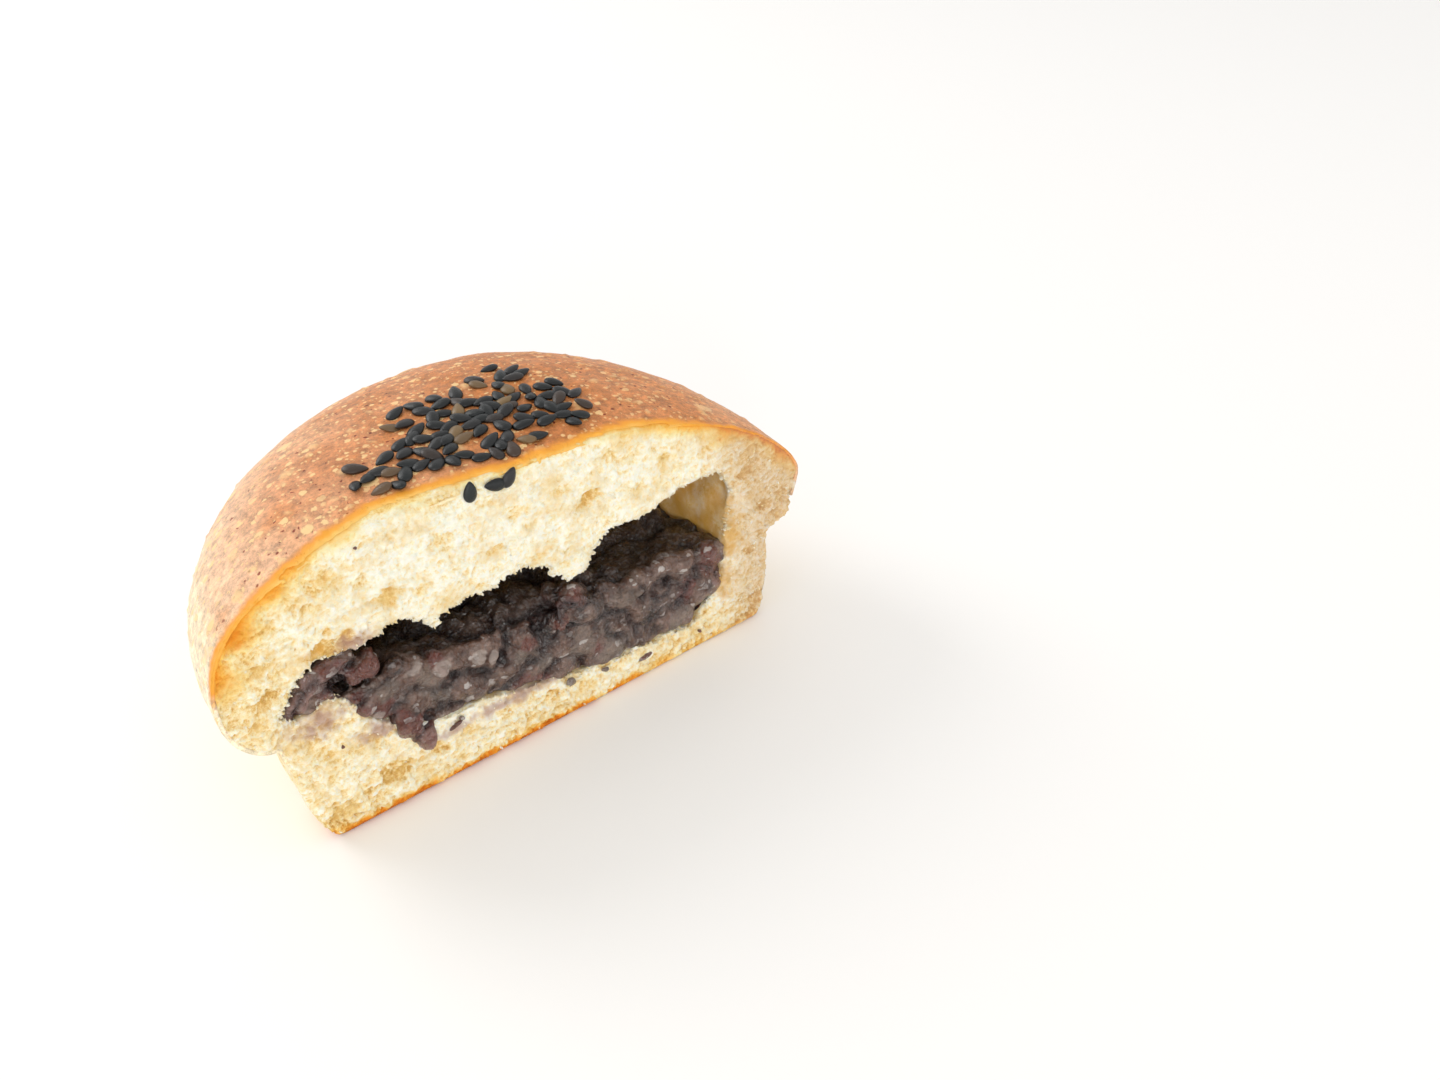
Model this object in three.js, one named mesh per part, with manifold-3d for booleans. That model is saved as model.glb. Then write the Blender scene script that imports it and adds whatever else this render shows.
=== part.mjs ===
// Half of an anpan: a round, soft Japanese bun filled with chunky red bean paste and topped with black
// sesame. The bun was cut upright a little in front of its middle, and this is the half that stands on its
// flat baked base. Millimetres, +Z up. The cut face looks towards -Y and leans back, -X is the end where the
// paste tapers out. The origin is under the middle of the bounding box, on the surface that the half rests on.

import * as THREE from "three";
import { mergeVertices } from "three/addons/utils/BufferGeometryUtils.js";
import Module from "manifold-3d";

const wasm = await Module();
wasm.setup();

// ---- driving dimensions -------------------------------------------------------------------------------
const bunHeight = 48.3; // table to the top of the dome
const bunDepth = 59.2; // base edge of the cut to the back of the bun
const cutLean = THREE.MathUtils.degToRad(7.7); // the cut leans back from upright
const axisBehindCut = 6.1; // the bun's own axis lies this far behind the base edge of the cut
const depthStretch = (bunDepth - axisBehindCut) / 50; // the bun is a little deeper than it is wide

// Each pair is [far end, near end]: the +X side domes gently, the -X side is fuller.
const bulgeReach = [49.7, 50.6]; // widest radius of the dome
const bulgeHeight = [26.7, 27.4]; // where the dome is widest
const waistHeight = [17, 19.5]; // the crease under the dome's overhang
const waistReach = [42, 45.2];
const baseReach = [39.5, 43];
const crownPower = [2.2, 4.7]; // how square the dome is, seen in section
const shoulderPower = [1.4, 1.75];
const backCrownPower = 4.3;
const backShoulderPower = 1.7;
const baseEdgeRound = 1.2;
const crownCap = 3; // the dome's rings stop this far from its axis
const skinSwell = 0.008; // how uneven the dome is, as a share of its radius
const rimDip = 1.4; // the cut pressed the crust down beside it
const rimDipWidth = 5;

const originX = -0.15; // the middle of the bounding box, from the bun's axis and the cut's base edge
const originY = bunDepth / 2 + 0.06;

// The mouth of the hollow in the cut face, as [x, height]: its floor, then its torn upper edge.
const mouth = [
  [-35, 21], [-29, 14.5], [-20, 10.4], [-9, 8.7], [1, 6.4], [12, 5.3], [23, 5.2], [30, 9],
  [32.4, 17], [31.8, 25], [33.4, 30.5], [28, 33], [20, 31], [11.5, 30.8], [8, 28], [4.5, 25.6],
  [-2, 28.2], [-11, 27.4], [-15.8, 26.8], [-19, 29.6], [-26, 28.6], [-32, 27],
];
const mouthMiddle = [0, 18];
const mouthStart = -3; // the hollow is cut from this far in front
const hollowDepth = 31;
const hollowCeiling = 33.5; // behind the torn edge the ceiling is higher than the edge
const hollowTear = 0.9; // raggedness of the torn edge

const pasteTop = 20.3; // height of the paste, with its lumps on top
const pasteGap = 0.55; // between the paste and the bread round it
const pasteLump = 1.2;
const beanSize = [3.6, 2.5, 2.2]; // half the length, width and height of a bean
const beanCount = 20;

const crumbRelief = 0.55; // how far the torn crumb of the cut stands out and in

const seedSize = [1.6, 0.98, 0.55]; // half the length, width and thickness
const seedSpacing = 1.75;
const seedSunk = 0.25; // how deep a seed sits in the crust
const seedTries = 1500;
// The patch of seeds, as ellipses [x, distance behind the cut's base edge, half width, half depth, most seeds]
const seedPatch = [
  [-2, 17, 13.5, 7.4, 58],
  [-7, 26.5, 7, 3.6, 9],
  [6.6, 29, 4, 4.6, 9],
  [10.5, 17, 4.4, 7, 9],
  [-18.5, 15.6, 5.2, 4.6, 9],
];
const draggedSeeds = [[-10, 46.2, 0.23], [-6.2, 45.8, 0.46], [-3.9, 46.1, 0.15]]; // [x, height, turn]

const skinColumns = 64; // columns round the whole bun
const skinSteps = [0, 1, 1.4, 1.75, 2, 2.3, 2.65, 3, 3.03, 3.08, 3.15, 3.24, 3.35, 3.48, 3.62, 3.76, 3.9, 4];
const faceColumns = 40;
const faceRows = 20;
const hollowColumns = 54;
const hollowRows = 11;

// ---- helpers ------------------------------------------------------------------------------------------
const { lerp, clamp } = THREE.MathUtils;

// A repeatable row of numbers between 0 and 1.
function randomRow(seed) {
  let state = seed;
  return () => {
    state = (state * 16807) % 2147483647;
    return state / 2147483647;
  };
}

// One fixed number between -1 and 1 for each corner of a unit grid.
function cornerValue(i, j, k) {
  let h = (i * 374761393 + j * 668265263 + k * 1274126177) | 0;
  h = Math.imul(h ^ (h >>> 13), 1274126177);
  return (((h ^ (h >>> 16)) >>> 0) / 4294967295) * 2 - 1;
}

// Smooth bumps of about one unit, between -1 and 1.
function bumps(x, y, z) {
  const [i, j, k] = [x, y, z].map(Math.floor);
  const [u, v, w] = [x - i, y - j, z - k].map((s) => s * s * (3 - 2 * s));
  let sum = 0;
  for (const [a, b, c] of [[0, 0, 0], [1, 0, 0], [0, 1, 0], [1, 1, 0], [0, 0, 1], [1, 0, 1], [0, 1, 1], [1, 1, 1]]) {
    const weight = (a ? u : 1 - u) * (b ? v : 1 - v) * (c ? w : 1 - w);
    sum += weight * cornerValue(i + a, j + b, k + c);
  }
  return sum;
}

// A closed surface: the rows and columns of a sphere, each vertex moved to pointAt(round, up), both 0 to 1.
function closedSurface(columns, rows, pointAt) {
  const geometry = new THREE.SphereGeometry(1, columns, rows);
  const position = geometry.getAttribute("position");
  const uv = geometry.getAttribute("uv");
  for (let i = 0; i < position.count; i++) {
    const up = Math.round(uv.getY(i) * rows) / rows;
    const column = i % (columns + 1);
    const point = pointAt((column % columns) / columns, up);
    position.setXYZ(i, point.x, point.y, point.z);
  }
  return geometry;
}

// A geometry as a manifold-3d solid.
function solidOf(geometry) {
  const bare = geometry.clone();
  bare.deleteAttribute("normal");
  bare.deleteAttribute("uv");
  const merged = mergeVertices(bare, 1e-4);
  return new wasm.Manifold(new wasm.Mesh({
    numProp: 3,
    vertProperties: new Float32Array(merged.getAttribute("position").array),
    triVerts: new Uint32Array(merged.index.array),
  }));
}

// A manifold-3d solid as a geometry.
function geometryOf(solid) {
  const mesh = solid.getMesh();
  const corners = new Float32Array(mesh.numVert * 3);
  for (let i = 0; i < mesh.numVert; i++)
    corners.set(mesh.vertProperties.subarray(i * mesh.numProp, i * mesh.numProp + 3), i * 3);
  const geometry = new THREE.BufferGeometry();
  geometry.setAttribute("position", new THREE.BufferAttribute(corners, 3));
  geometry.setIndex(new THREE.BufferAttribute(new Uint32Array(mesh.triVerts), 1));
  geometry.computeVertexNormals();
  return geometry;
}

// The largest piece of a solid, without the scraps that a cut leaves.
function largestPiece(solid) {
  return solid.decompose().sort((a, b) => b.volume() - a.volume())[0];
}

// ---- the bun's outer shape ----------------------------------------------------------------------------
// Distance behind the base edge of the cut at which the cut lies, at a height.
const cutAt = (z) => z * Math.tan(cutLean);

// The dome's sizes in one direction, where turn is 0 at the far end, half pi at the back and pi at the near end.
function sizesAt(turn) {
  const near = (1 - Math.cos(turn)) / 2;
  const back = Math.max(0, Math.sin(turn)) ** 2;
  const between = (pair) => lerp(pair[0], pair[1], near);
  return {
    bulge: between(bulgeReach),
    bulgeZ: between(bulgeHeight),
    waist: between(waistReach),
    waistZ: between(waistHeight),
    base: between(baseReach),
    crown: lerp(between(crownPower), backCrownPower, back),
    shoulder: lerp(between(shoulderPower), backShoulderPower, back),
  };
}

// The section of the bun as [radius, height], where step runs through the corners named below.
// 0 base edge, 1 top of its round, 2 waist, 3 bulge, 4 edge of the crown's cap
function profileAt(turn, step) {
  const s = sizesAt(turn);
  if (step <= 1) return [s.base - baseEdgeRound * (1 - step), baseEdgeRound * step];
  if (step <= 2) {
    const q = step - 1;
    return [lerp(s.base, s.waist, Math.sqrt(q)), lerp(baseEdgeRound, s.waistZ, q)];
  }
  if (step <= 3) {
    const a = ((step - 2) * Math.PI) / 2;
    return [lerp(s.waist, s.bulge, Math.sin(a)), lerp(s.waistZ, s.bulgeZ, 1 - Math.cos(a))];
  }
  const r = lerp(s.bulge, crownCap, (step - 3) ** 1.4);
  const up = (1 - (r / s.bulge) ** s.crown) ** (1 / s.shoulder);
  return [r, lerp(s.bulgeZ, bunHeight, up)];
}

// The crust sinks beside the cut, most at the top of the dome.
function pressed(p) {
  const behind = Math.max(0, p.y - cutAt(p.z));
  const high = clamp((p.z - 30) / (bunHeight - 30), 0, 1);
  p.z -= rimDip * high * Math.exp(-behind / rimDipWidth);
  return p;
}

// The whole bun, as rows from the base to the crown. y is measured from the base edge of the cut.
function wholeBun() {
  return solidOf(closedSurface(skinColumns, skinSteps.length + 1, (round, up) => {
    const row = Math.round(up * (skinSteps.length + 1));
    if (row === 0) return new THREE.Vector3(0, axisBehindCut, 0);
    if (row === skinSteps.length + 1) return pressed(new THREE.Vector3(0, axisBehindCut, bunHeight));
    const turn = round * Math.PI * 2;
    const [r, z] = profileAt(turn, skinSteps[row - 1]);
    const swell = 1 + skinSwell * bumps(2 * Math.cos(turn), 2 * Math.sin(turn), z / 16) * clamp(z / 12, 0, 1);
    const x = r * swell * Math.cos(turn);
    const y = axisBehindCut + r * swell * Math.sin(turn) * depthStretch;
    return pressed(new THREE.Vector3(x, y, z));
  }));
}

// Everything behind the cut. Its front has the crags of torn crumb.
function behindTheCut() {
  const [width, depth, height] = [120, 80, 66];
  const geometry = new THREE.BoxGeometry(width, depth, height, faceColumns, 1, faceRows);
  const position = geometry.getAttribute("position");
  for (let i = 0; i < position.count; i++) {
    const x = position.getX(i);
    const z = position.getZ(i) + height / 2 - 4;
    const front = position.getY(i) < 0 ? 1 : 0;
    const crags = bumps(x / 4.1, 7.3, z / 3.3) + 0.6 * bumps(x / 2.3, 1.9, z / 2.1);
    const calm = clamp(z / 3, 0, 1);
    position.setXYZ(i, x, cutAt(z) + (front ? crumbRelief * calm * crags : depth), z);
  }
  return solidOf(geometry);
}

// ---- the hollow and the paste in it --------------------------------------------------------------------
const mouthCurve = new THREE.CatmullRomCurve3(
  mouth.map(([x, z]) => new THREE.Vector3(x, 0, z)), true, "centripetal");

// Height of the hollow's smooth ceiling, behind the torn edge of the mouth.
const ceilingAt = (x) => hollowCeiling - 0.0045 * (x + 2) ** 2;

// A point of the hollow on one ring of it, so far behind the cut, drawn in by inset.
function hollowPoint(round, behind, inset) {
  const closing = (1 - Math.max(0, behind / hollowDepth) ** 2.4) ** (1 / 2.4);
  const edge = mouthCurve.getPointAt(round);
  const dx = edge.x - mouthMiddle[0];
  let dz = edge.z - mouthMiddle[1];
  const torn = clamp((dz - 4) / 4, 0, 1) * Math.exp(-Math.max(0, behind) / 4);
  dz += hollowTear * torn * bumps(edge.x / 1.9, 0.4, 3.7);
  const lifted = clamp(behind / 6, 0, 1) * clamp(dz / 7, 0, 1) * clamp((30 - Math.abs(dx)) / 10, 0, 1);
  dz = lerp(dz, ceilingAt(edge.x) - mouthMiddle[1], lifted);
  const reach = Math.hypot(dx, dz);
  const across = Math.max(0, reach * closing - inset) / reach;
  const upward = Math.max(0, reach * closing ** 0.8 - inset) / reach;
  const z = mouthMiddle[1] + dz * upward;
  return new THREE.Vector3(mouthMiddle[0] + dx * across, cutAt(z) + behind * (1 - (1.5 * inset) / hollowDepth), z);
}

// The hollow as a solid: a straight mouth through the cut, then rings that close towards its back.
function hollowSolid(inset) {
  const front = new THREE.Vector3(mouthMiddle[0], cutAt(mouthMiddle[1]) + mouthStart, mouthMiddle[1]);
  return solidOf(closedSurface(hollowColumns, hollowRows, (round, up) => {
    const row = Math.round(up * hollowRows);
    if (row === 0) return front;
    if (row === 1) return hollowPoint(1 - round, mouthStart, inset);
    if (row === hollowRows) return hollowPoint(0, hollowDepth, inset);
    return hollowPoint(1 - round, (hollowDepth * (row - 2)) / (hollowRows - 2), inset);
  }));
}

// A block with a lumpy top and front, later cut to the hollow.
function pasteBlock() {
  const [width, depth, height] = [80, 44, 30];
  const geometry = new THREE.BoxGeometry(width, depth, height, 24, 10, 6);
  const position = geometry.getAttribute("position");
  for (let i = 0; i < position.count; i++) {
    const x = position.getX(i);
    const behind = position.getY(i) + depth / 2;
    const share = position.getZ(i) / height + 0.5;
    const top = pasteTop + pasteLump * bumps(x / 5, behind / 4, 0.5) + 0.5 * bumps(x / 2.2, behind / 2, 5.5);
    const z = share * top;
    const front = 1 - clamp(behind / 6, 0, 1);
    const slump = 0.9 * bumps(x / 5.5, 3.1, z / 4.5) + 0.4 * share ** 3;
    position.setXYZ(i, x, cutAt(z) + behind + front * slump, z);
  }
  return solidOf(geometry);
}

// Whole beans that stand out of the paste, along its top near the cut.
function beans() {
  const next = randomRow(4242);
  const made = [];
  for (let i = 0; i < beanCount; i++) {
    const x = lerp(-24, 27, (i + 0.7 * next()) / beanCount);
    const behind = lerp(2.5, 15, next());
    const size = lerp(0.75, 1.1, next());
    const shape = new THREE.SphereGeometry(1, 7, 5);
    shape.scale(...beanSize.map((s) => s * size));
    shape.rotateY((next() - 0.5) * 0.9);
    shape.rotateZ(next() * Math.PI);
    shape.translate(x, cutAt(pasteTop) + behind, pasteTop - 0.3);
    made.push(solidOf(shape));
  }
  return made;
}

// ---- sesame -------------------------------------------------------------------------------------------
// Where the seeds lie: dropped at random over the patch, none too near another.
function seedPlaces() {
  const next = randomRow(1879);
  const places = [];
  for (const [middleX, middleY, wide, deep, most] of seedPatch) {
    let added = 0;
    for (let i = 0; i < seedTries && added < most; i++) {
      const [a, b] = [next() * 2 - 1, next() * 2 - 1];
      if (a * a + b * b > 1) continue;
      const [x, y] = [middleX + a * wide, middleY + b * deep];
      const near = places.some((p) => (p.x - x) * (p.x - x) + (p.y - y) * (p.y - y) < seedSpacing * seedSpacing);
      if (near || y < 8.2) continue;
      places.push({ x, y, turn: next(), tilt: next(), size: next() });
      added++;
    }
  }
  return places;
}

// One seed: a flat drop, blunt at one end, lying where a ray from start meets the bread.
function seedSolid(bread, start, way, place) {
  const shape = new THREE.SphereGeometry(1, 5, 4);
  shape.rotateZ(Math.PI / 2);
  const position = shape.getAttribute("position");
  const size = lerp(0.88, 1.1, place.size);
  for (let i = 0; i < position.count; i++) {
    const along = position.getX(i);
    const taper = 1 - 0.28 * along;
    position.setXYZ(i, along * seedSize[0] * size, position.getY(i) * seedSize[1] * taper * size,
      position.getZ(i) * seedSize[2] * size);
  }
  const hit = new THREE.Raycaster(start, way).intersectObject(bread)[0];
  const up = hit.face.normal.clone().sub(way).normalize();
  const lie = new THREE.Quaternion().setFromUnitVectors(new THREE.Vector3(0, 0, 1), up);
  const turn = new THREE.Quaternion().setFromAxisAngle(new THREE.Vector3(0, 0, 1), place.turn * Math.PI * 2);
  const tilt = new THREE.Quaternion().setFromAxisAngle(new THREE.Vector3(0, 1, 0), (place.tilt - 0.5) * 0.5);
  shape.applyQuaternion(lie.multiply(turn).multiply(tilt));
  const middle = hit.point.clone().addScaledVector(up, seedSize[2] - seedSunk);
  shape.translate(middle.x, middle.y, middle.z);
  return solidOf(shape);
}

// All the seeds: those of the patch, dropped from above, and a few that the knife dragged onto the crumb.
function seeds(bread) {
  const [above, down, back] = [70, new THREE.Vector3(0, 0, -1), new THREE.Vector3(0, 1, 0)];
  const fallen = seedPlaces().map((place) =>
    seedSolid(bread, new THREE.Vector3(place.x, place.y, above), down, place));
  const dragged = draggedSeeds.map(([x, z, turn]) =>
    seedSolid(bread, new THREE.Vector3(x, -20, z), back, { turn, tilt: 0.5, size: 0.5 }));
  return fallen.concat(dragged);
}

// ---- the two pieces -----------------------------------------------------------------------------------
const crumbMaterial = new THREE.MeshStandardMaterial({ color: 0xf3e2b4, roughness: 0.85, metalness: 0 });
const pasteMaterial = new THREE.MeshStandardMaterial({ color: 0x43322f, roughness: 0.35, metalness: 0 });

function makeBread() {
  const half = wholeBun().intersect(behindTheCut());
  const hollowed = largestPiece(half.subtract(hollowSolid(0)));
  const plain = new THREE.Mesh(geometryOf(hollowed), crumbMaterial);
  const seeded = seeds(plain).reduce((bread, seed) => bread.add(seed), hollowed);
  const bread = new THREE.Mesh(geometryOf(largestPiece(seeded)), crumbMaterial);
  bread.name = "bread";
  return bread;
}

function makePaste() {
  const heap = beans().reduce((paste, bean) => paste.add(bean), pasteBlock());
  const fitted = largestPiece(heap.intersect(hollowSolid(pasteGap)));
  const paste = new THREE.Mesh(geometryOf(fitted), pasteMaterial);
  paste.name = "bean_paste";
  return paste;
}

const anpan = new THREE.Group();
anpan.add(makeBread(), makePaste());
anpan.position.set(-originX, -originY, 0);

export default anpan;
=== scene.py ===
import bpy
import bmesh
import math
from functools import partial
from mathutils import Matrix, Vector, noise
from mathutils.bvhtree import BVHTree
from mathutils.kdtree import KDTree


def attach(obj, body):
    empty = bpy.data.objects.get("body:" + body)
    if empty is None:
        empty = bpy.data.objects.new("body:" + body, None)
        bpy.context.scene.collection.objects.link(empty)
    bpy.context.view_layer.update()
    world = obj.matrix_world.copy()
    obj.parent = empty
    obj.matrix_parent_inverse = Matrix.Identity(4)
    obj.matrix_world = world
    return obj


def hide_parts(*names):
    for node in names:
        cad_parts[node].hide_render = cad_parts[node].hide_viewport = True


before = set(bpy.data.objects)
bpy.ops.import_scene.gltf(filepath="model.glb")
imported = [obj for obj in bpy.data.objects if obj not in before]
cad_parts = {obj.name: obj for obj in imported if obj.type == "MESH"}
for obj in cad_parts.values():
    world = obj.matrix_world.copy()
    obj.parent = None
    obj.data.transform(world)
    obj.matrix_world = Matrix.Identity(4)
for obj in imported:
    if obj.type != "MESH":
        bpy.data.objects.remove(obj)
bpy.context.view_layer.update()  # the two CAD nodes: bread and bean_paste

# Half of a round bun, cut upright through its bean paste.
# Everything is modelled in millimetres in the bun's own frame: x along the cut, y back from the base
# edge of the cut, z up. placePiece then puts it in the CAD's frame, in metres.

scene = bpy.context.scene

bun = {
    "height": 48.3,
    "depth": 59.2,
    "cutLean": math.radians(7.7),
    "axisBehindCut": 6.1,
    # (far end, near end) of the cut
    "bulgeReach": (49.7, 50.6),
    "bulgeHeight": (26.7, 27.4),
    "waistHeight": (17.0, 19.5),
    "waistReach": (42.0, 45.2),
    "baseReach": (39.5, 43.0),
    "crownPower": (2.2, 4.7, 4.3),  # third value: at the back
    "shoulderPower": (1.4, 1.75, 1.7),
    "baseEdgeRound": 1.2,
    "crownCap": 3.0,
    "swell": 0.008,
    "rimDip": 1.4,
    "rimDipWidth": 5.0,
}
depthStretch = (bun["depth"] - bun["axisBehindCut"]) / 50
toFrame = Matrix.Scale(0.001, 4) @ Matrix.Translation((0.15, -(bun["depth"] / 2 + 0.06), 0))


def clamp(value, low=0.0, high=1.0):
    return max(low, min(high, value))


def mix(a, b, t):
    return a + (b - a) * t


def smoothStep(low, high, value):
    t = clamp((value - low) / (high - low))
    return t * t * (3 - 2 * t)


def alongTable(table, x):  # rows of (x, values): the values at x
    for (x0, *low), (x1, *high) in zip(table, table[1:]):
        if x <= x1:
            return [mix(a, b, clamp((x - x0) / (x1 - x0))) for a, b in zip(low, high)]
    return table[-1][1:]


def randomRow(seed):  # the same repeatable row of numbers as the CAD source uses
    state = seed

    def draw():
        nonlocal state
        state = state * 16807 % 2147483647
        return state / 2147483647
    return draw


def bumps(p, size):  # from -1 to 1, in bumps of size mm
    return noise.noise(p / size)


def noiseVector(p):  # not mathutils' own, which starts from the clock
    shifts = ((17.3, 0, 5.1), (0, 31.7, 11.9), (43.1, 7.7, 0))
    return Vector([noise.noise(p + Vector(shift)) for shift in shifts])


def cutAt(z):
    return z * math.tan(bun["cutLean"])


def sizesAt(turn):
    near = (1 - math.cos(turn)) / 2
    back = max(0.0, math.sin(turn)) ** 2
    along = lambda key: mix(bun[key][0], bun[key][1], near)
    return {
        "bulge": along("bulgeReach"), "bulgeZ": along("bulgeHeight"),
        "waist": along("waistReach"), "waistZ": along("waistHeight"), "base": along("baseReach"),
        "crown": mix(along("crownPower"), bun["crownPower"][2], back),
        "shoulder": mix(along("shoulderPower"), bun["shoulderPower"][2], back),
    }


def profileAt(turn, step):
    # 0 base edge, 1 top of its round, 2 waist, 3 bulge, 4 edge of the crown's cap, 5 crown
    s = sizesAt(turn)
    edge = bun["baseEdgeRound"]
    if step <= 0:
        return (s["base"] - edge) * (1 + step), 0.0
    if step <= 1:
        return s["base"] - edge * (1 - step) ** 2, edge * step ** 0.8
    if step <= 2:
        q = step - 1
        return mix(s["base"], s["waist"], math.sqrt(q)), mix(edge, s["waistZ"], q)
    if step <= 3:
        a = (step - 2) * math.pi / 2
        return mix(s["waist"], s["bulge"], math.sin(a)), mix(s["waistZ"], s["bulgeZ"], 1 - math.cos(a))
    if step <= 4:
        r = mix(s["bulge"], bun["crownCap"], (step - 3) ** 1.4)
    else:
        r = bun["crownCap"] * (5 - step)
    up = (1 - (r / s["bulge"]) ** s["crown"]) ** (1 / s["shoulder"])
    return r, mix(s["bulgeZ"], bun["height"], up)


def pressed(p):  # the knife pressed the crust down beside the cut
    behind = max(0.0, p.y - cutAt(p.z))
    high = clamp((p.z - 30) / (bun["height"] - 30))
    p.z -= bun["rimDip"] * high * math.exp(-behind / bun["rimDipWidth"])
    return p


def skinPoint(turn, step):
    r, z = profileAt(turn, step)
    lump = noise.noise(Vector((2 * math.cos(turn), 2 * math.sin(turn), z / 16)))
    r *= 1 + 2 * bun["swell"] * lump * clamp(z / 12)
    y = bun["axisBehindCut"] + r * math.sin(turn) * depthStretch
    return pressed(Vector((r * math.cos(turn), y, z)))


def spunSkin(columns, rowsPerStep, inset=0.0):
    # a straight chain of points, one height for each row of the section, is spun and then takes its shape
    bm = bmesh.new()
    steps = [-1.0]
    for start, rows in enumerate(rowsPerStep):
        steps += [start - 1 + (i + 1) / rows for i in range(rows)]
    chain = [bm.verts.new((0.0 if s in (-1.0, 5.0) else 1.0, 0, s)) for s in steps]
    for low, high in zip(chain, chain[1:]):
        bm.edges.new((low, high))
    bmesh.ops.spin(bm, geom=chain + list(bm.edges), cent=(0, 0, 0), axis=(0, 0, 1), angle=2 * math.pi,
                   steps=columns, use_merge=True, use_duplicate=False)
    bmesh.ops.remove_doubles(bm, verts=bm.verts, dist=1e-4)
    for v in bm.verts:
        v.co = skinPoint(math.atan2(v.co.y, v.co.x), v.co.z)
    bmesh.ops.recalc_face_normals(bm, faces=bm.faces)
    if inset:
        bm.normal_update()
        for v in bm.verts:
            v.co -= v.normal * inset
    return bm


def cutOff(bm, place, way):  # drops what lies beyond a plane, on the side that way points to
    bmesh.ops.bisect_plane(bm, geom=list(bm.verts) + list(bm.edges) + list(bm.faces), dist=1e-5,
                           plane_co=place, plane_no=way, clear_outer=True)


def cutAway(bm, behind):  # keeps what lies behind the cut
    lean = bun["cutLean"]
    cutOff(bm, (0, behind, 0), (0, -math.cos(lean), math.sin(lean)))


def faceOutwards(bm):
    bmesh.ops.recalc_face_normals(bm, faces=bm.faces)
    if bm.calc_volume(signed=True) < 0:
        bmesh.ops.reverse_faces(bm, faces=bm.faces)


def fillOpen(bm):
    rim = [e for e in bm.edges if e.is_boundary]
    bmesh.ops.triangle_fill(bm, edges=rim, use_beauty=True)
    faceOutwards(bm)


def newLayers(bm, *names):  # one number at each point for each name
    return {name: bm.verts.layers.float.new(name) for name in names}


def meshObject(name, bm):
    mesh = bpy.data.meshes.new(name)
    bm.to_mesh(mesh)
    bm.free()
    piece = bpy.data.objects.new(name, mesh)
    scene.collection.objects.link(piece)
    return piece


def withModifiers(piece, *modifiers):  # applies them all, in their order
    for kind, settings in modifiers:
        modifier = piece.modifiers.new(kind, kind)
        for key, value in settings.items():
            setattr(modifier, key, value)
    graph = bpy.context.evaluated_depsgraph_get()
    old = piece.data
    piece.data = bpy.data.meshes.new_from_object(piece.evaluated_get(graph))
    piece.modifiers.clear()
    bpy.data.meshes.remove(old)


def placePiece(piece, node, material):
    piece.data.transform(toFrame)
    piece.data.materials.clear()
    piece.data.materials.append(material)
    piece.data.shade_smooth()
    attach(piece, "root")
    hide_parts(node)
    print("placed", piece.name, len(piece.data.polygons), "faces")


# materials
def linear(hexColor):
    parts = [int(hexColor[i:i + 2], 16) / 255 for i in (1, 3, 5)]
    return [p / 12.92 if p <= 0.04045 else ((p + 0.055) / 1.055) ** 2.4 for p in parts] + [1.0]


def addNode(tree, kind, links=None, out=0, stops=None, **settings):
    # one node, with its settings, its ramp's stops, and its inputs as links or values; returns an output
    node = tree.nodes.new("ShaderNode" + kind)
    for key, value in settings.items():
        setattr(node, key, value)
    if stops:
        elements = node.color_ramp.elements
        while len(elements) < len(stops):
            elements.new(1.0)
        for element, (place, color) in zip(elements, stops):
            element.position = place
            element.color = linear(color)
    for socket, value in (links or {}).items():
        if isinstance(value, bpy.types.NodeSocket):
            tree.links.new(value, node.inputs[socket])
        else:
            node.inputs[socket].default_value = value
    return node.outputs[out] if node.outputs else None


def newMaterial(name, *attributes):  # with what adds its nodes, millimetres on it, and its attributes
    material = bpy.data.materials.new(name)
    material.use_nodes = True
    material.node_tree.nodes.clear()
    add = partial(addNode, material.node_tree)
    where = add("TexCoord", out="Object")
    mm = add("Mapping", {"Vector": where, "Scale": (1000, 1000, 1000)})
    values = [add("Attribute", out="Fac", attribute_name=attribute) for attribute in attributes]
    return material, add, mm, values


def warped(add, place, size, reach):  # shifts the coordinates by up to reach mm, in lumps of size mm
    shift = add("TexNoise", {"Vector": place, "Scale": 1 / size, "Detail": 2}, "Color")
    return add("VectorMath", {0: shift, 1: (reach, reach, reach), 2: place}, operation="MULTIPLY_ADD")


def spots(add, place, spacing, share, radius, soft=0.1):
    # 1 inside the spots: a share of the cells, spacing mm apart, holds one, of up to radius mm
    away = add("TexVoronoi", {"Vector": place, "Scale": 1 / spacing})
    chance = add("SeparateColor", {0: away.node.outputs["Color"]})
    reach = add("MapRange", {0: chance, 1: 1 - share, 2: 1, 3: 0, 4: radius / spacing})
    inside = add("Math", {0: reach, 1: away}, operation="SUBTRACT")
    return add("MapRange", {0: inside, 1: 0, 2: soft})


def coated(add, color, *coats):  # lays coats over a colour, each as its share, its colour and its way
    for share, coat, *way in coats:
        over = linear(coat) if isinstance(coat, str) else coat
        color = add("Mix", {0: share, 6: color, 7: over}, "Result", data_type="RGBA",
                    blend_type=way[0] if way else "MIX")
    return color


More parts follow.
